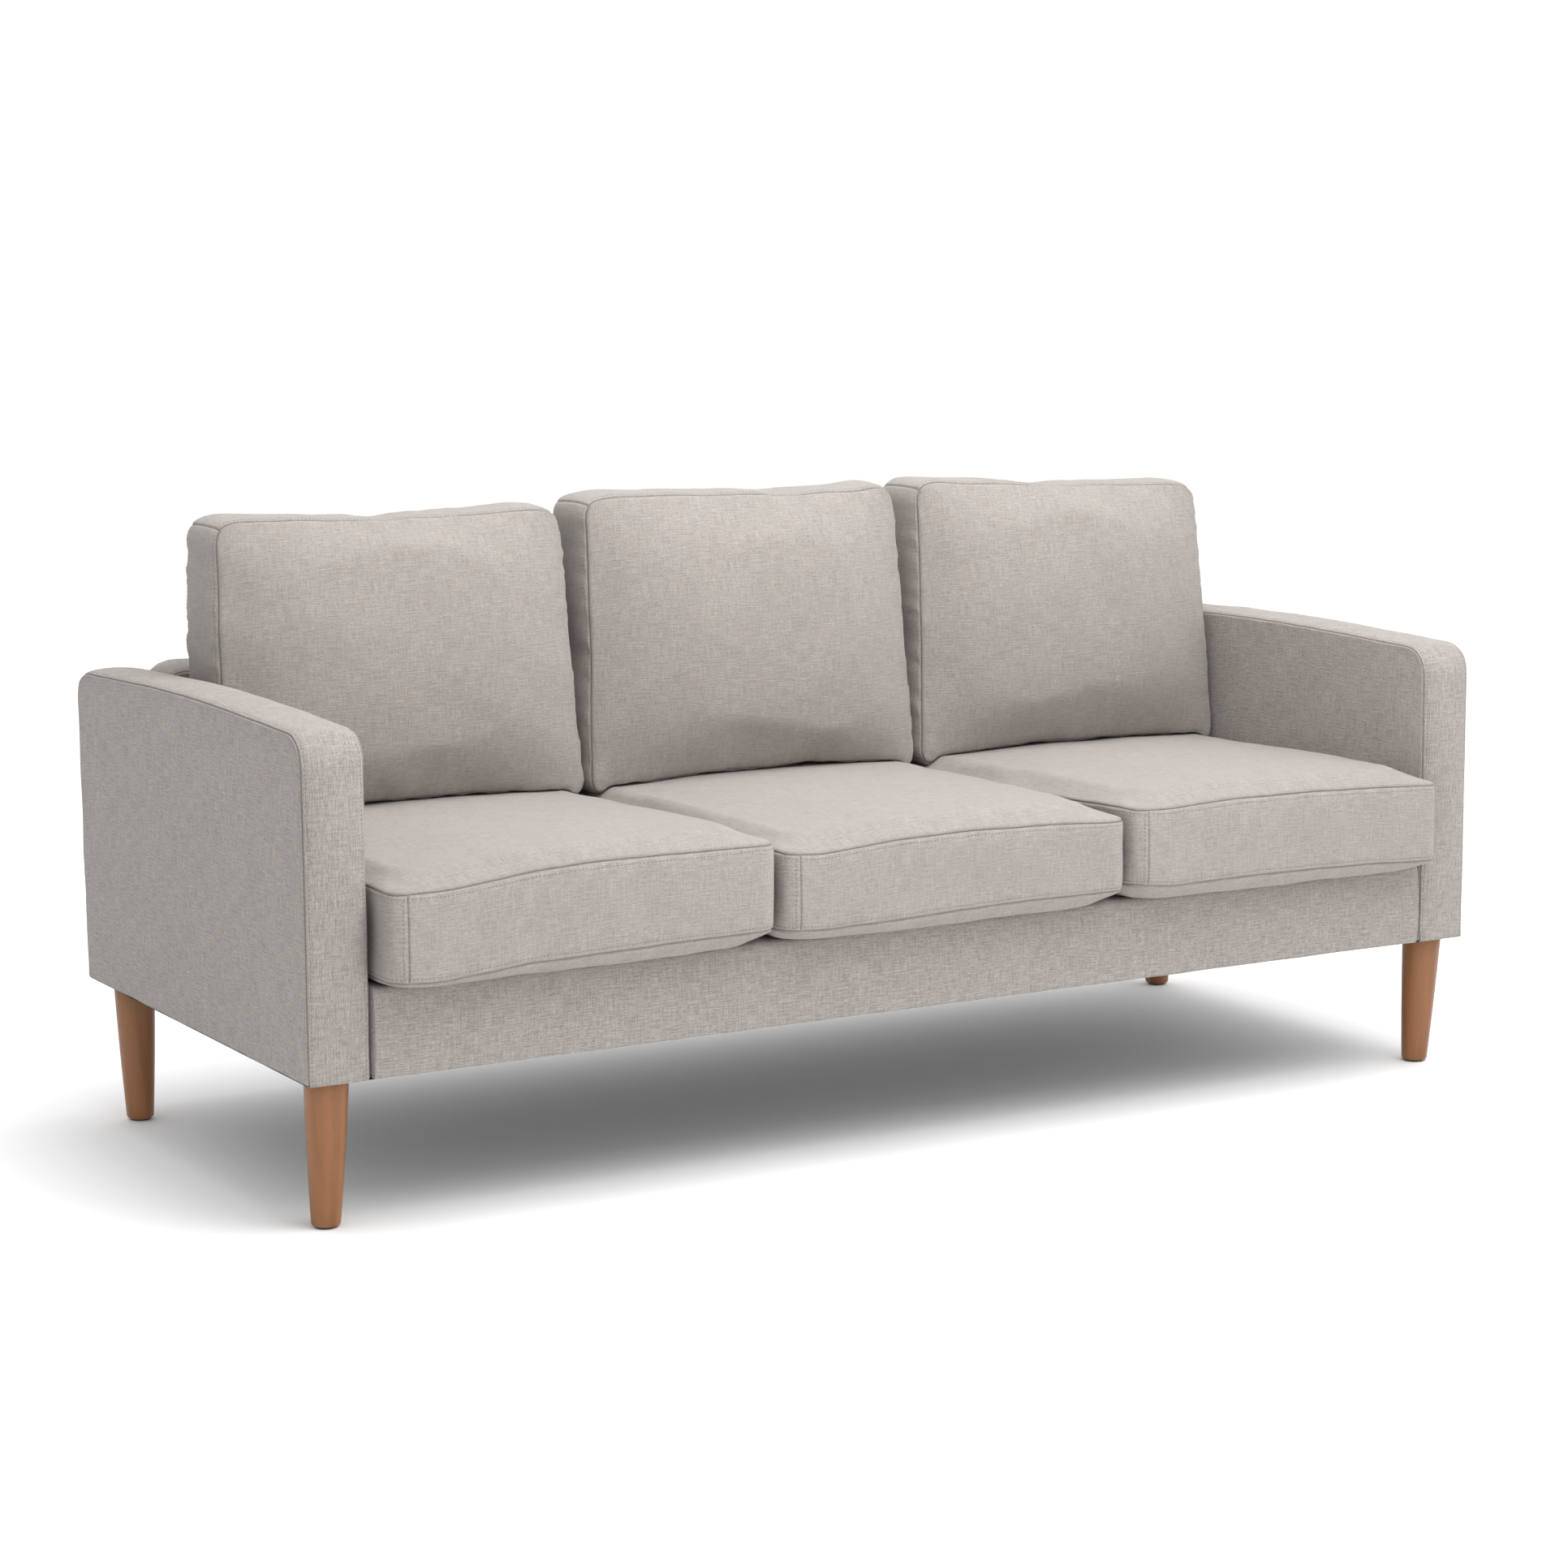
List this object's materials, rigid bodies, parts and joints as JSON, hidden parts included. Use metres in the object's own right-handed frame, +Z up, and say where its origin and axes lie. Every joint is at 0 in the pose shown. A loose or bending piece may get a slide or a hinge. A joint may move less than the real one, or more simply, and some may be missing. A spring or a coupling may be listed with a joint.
{
  "type": "three-seat sofa",
  "caption": "Three-seat sofa with boxed loose seat and back cushions, slim padded arms and tapered round wooden legs.",
  "frame": {"origin": "on the floor, at the centre of the bottom of the whole sofa's box", "axes": "+X along the width, to the right as seen from the front; +Y from the front to the rear, so the seat faces -Y; +Z up"},
  "size_m": [1.9, 0.8616, 0.8794],
  "materials": {
    "cover_fabric": "matte",
    "deck_lining": "matte",
    "underside_cloth": "matte",
    "foam": "matte",
    "fibre_fill": "matte",
    "carcass_timber": "matte",
    "panel_board": "matte",
    "leg_wood": "satin",
    "spring_steel": "satin",
    "zinc_steel": "satin",
    "zip_metal": "satin",
    "glide_plastic": "matte"
  },
  "bodies": {
    "carcass": {"arm_left_cover": "cover_fabric", "arm_left_padding": "foam", "arm_left_panel_inner": "panel_board", "arm_left_panel_outer": "panel_board", "arm_left_posts": "carcass_timber", "arm_left_rail_bottom": "carcass_timber", "arm_left_rail_top": "carcass_timber", "arm_right_cover": "cover_fabric", "arm_right_padding": "foam", "arm_right_panel_inner": "panel_board", "arm_right_panel_outer": "panel_board", "arm_right_posts": "carcass_timber", "arm_right_rail_bottom": "carcass_timber", "arm_right_rail_top": "carcass_timber", "back_board": "panel_board", "back_cover": "cover_fabric", "back_liner": "panel_board", "back_padding": "foam", "back_posts": "carcass_timber", "back_rail_top": "carcass_timber", "base_corner_blocks": "carcass_timber", "base_end_rails": "carcass_timber", "base_front_cover": "cover_fabric", "base_front_padding": "foam", "base_rail_front": "carcass_timber", "base_rail_rear": "carcass_timber", "base_spring_clips": "zinc_steel", "base_springs": "spring_steel", "base_stretchers": "carcass_timber", "deck_cloth": "deck_lining", "deck_pad": "foam", "dust_cover": "underside_cloth", "frame_bolts": "zinc_steel", "frame_tnuts": "zinc_steel", "leg_bolts": "zinc_steel", "leg_front_left": "leg_wood", "leg_front_right": "leg_wood", "leg_glides": "glide_plastic", "leg_inserts": "zinc_steel", "leg_rear_left": "leg_wood", "leg_rear_right": "leg_wood"},
    "seat_cushion_left": {"seat_cushion_left_cover": "cover_fabric", "seat_cushion_left_filling": "foam"},
    "seat_cushion_left_slider": {"seat_cushion_left_zip_slider": "zip_metal"},
    "back_cushion_left": {"back_cushion_left_cover": "cover_fabric", "back_cushion_left_filling": "fibre_fill"},
    "back_cushion_left_slider": {"back_cushion_left_zip_slider": "zip_metal"},
    "seat_cushion_middle": {"seat_cushion_middle_cover": "cover_fabric", "seat_cushion_middle_filling": "foam"},
    "seat_cushion_middle_slider": {"seat_cushion_middle_zip_slider": "zip_metal"},
    "back_cushion_middle": {"back_cushion_middle_cover": "cover_fabric", "back_cushion_middle_filling": "fibre_fill"},
    "back_cushion_middle_slider": {"back_cushion_middle_zip_slider": "zip_metal"},
    "seat_cushion_right": {"seat_cushion_right_cover": "cover_fabric", "seat_cushion_right_filling": "foam"},
    "seat_cushion_right_slider": {"seat_cushion_right_zip_slider": "zip_metal"},
    "back_cushion_right": {"back_cushion_right_cover": "cover_fabric", "back_cushion_right_filling": "fibre_fill"},
    "back_cushion_right_slider": {"back_cushion_right_zip_slider": "zip_metal"}
  },
  "joints": [
    {"name": "seat_cushion_left_pull_out", "type": "slide", "parent": "carcass", "child": "seat_cushion_left", "axis": [0, -1, 0], "range_m": [0, 0.72]},
    {"name": "seat_cushion_middle_pull_out", "type": "slide", "parent": "carcass", "child": "seat_cushion_middle", "axis": [0, -1, 0], "range_m": [0, 0.72]},
    {"name": "seat_cushion_right_pull_out", "type": "slide", "parent": "carcass", "child": "seat_cushion_right", "axis": [0, -1, 0], "range_m": [0, 0.72]},
    {"name": "back_cushion_left_lift_off", "type": "slide", "parent": "carcass", "child": "back_cushion_left", "axis": [0, 0, 1], "range_m": [0, 0.3]},
    {"name": "back_cushion_middle_lift_off", "type": "slide", "parent": "carcass", "child": "back_cushion_middle", "axis": [0, 0, 1], "range_m": [0, 0.3]},
    {"name": "back_cushion_right_lift_off", "type": "slide", "parent": "carcass", "child": "back_cushion_right", "axis": [0, 0, 1], "range_m": [0, 0.3]},
    {"name": "seat_cushion_left_zip", "type": "slide", "parent": "seat_cushion_left", "child": "seat_cushion_left_slider", "axis": [1, 0, 0], "range_m": [0, 0.462]},
    {"name": "seat_cushion_middle_zip", "type": "slide", "parent": "seat_cushion_middle", "child": "seat_cushion_middle_slider", "axis": [1, 0, 0], "range_m": [0, 0.462]},
    {"name": "seat_cushion_right_zip", "type": "slide", "parent": "seat_cushion_right", "child": "seat_cushion_right_slider", "axis": [1, 0, 0], "range_m": [0, 0.462]},
    {"name": "back_cushion_left_zip", "type": "slide", "parent": "back_cushion_left", "child": "back_cushion_left_slider", "axis": [1, 0, 0], "range_m": [0, 0.462]},
    {"name": "back_cushion_middle_zip", "type": "slide", "parent": "back_cushion_middle", "child": "back_cushion_middle_slider", "axis": [1, 0, 0], "range_m": [0, 0.462]},
    {"name": "back_cushion_right_zip", "type": "slide", "parent": "back_cushion_right", "child": "back_cushion_right_slider", "axis": [1, 0, 0], "range_m": [0, 0.462]}
  ]
}
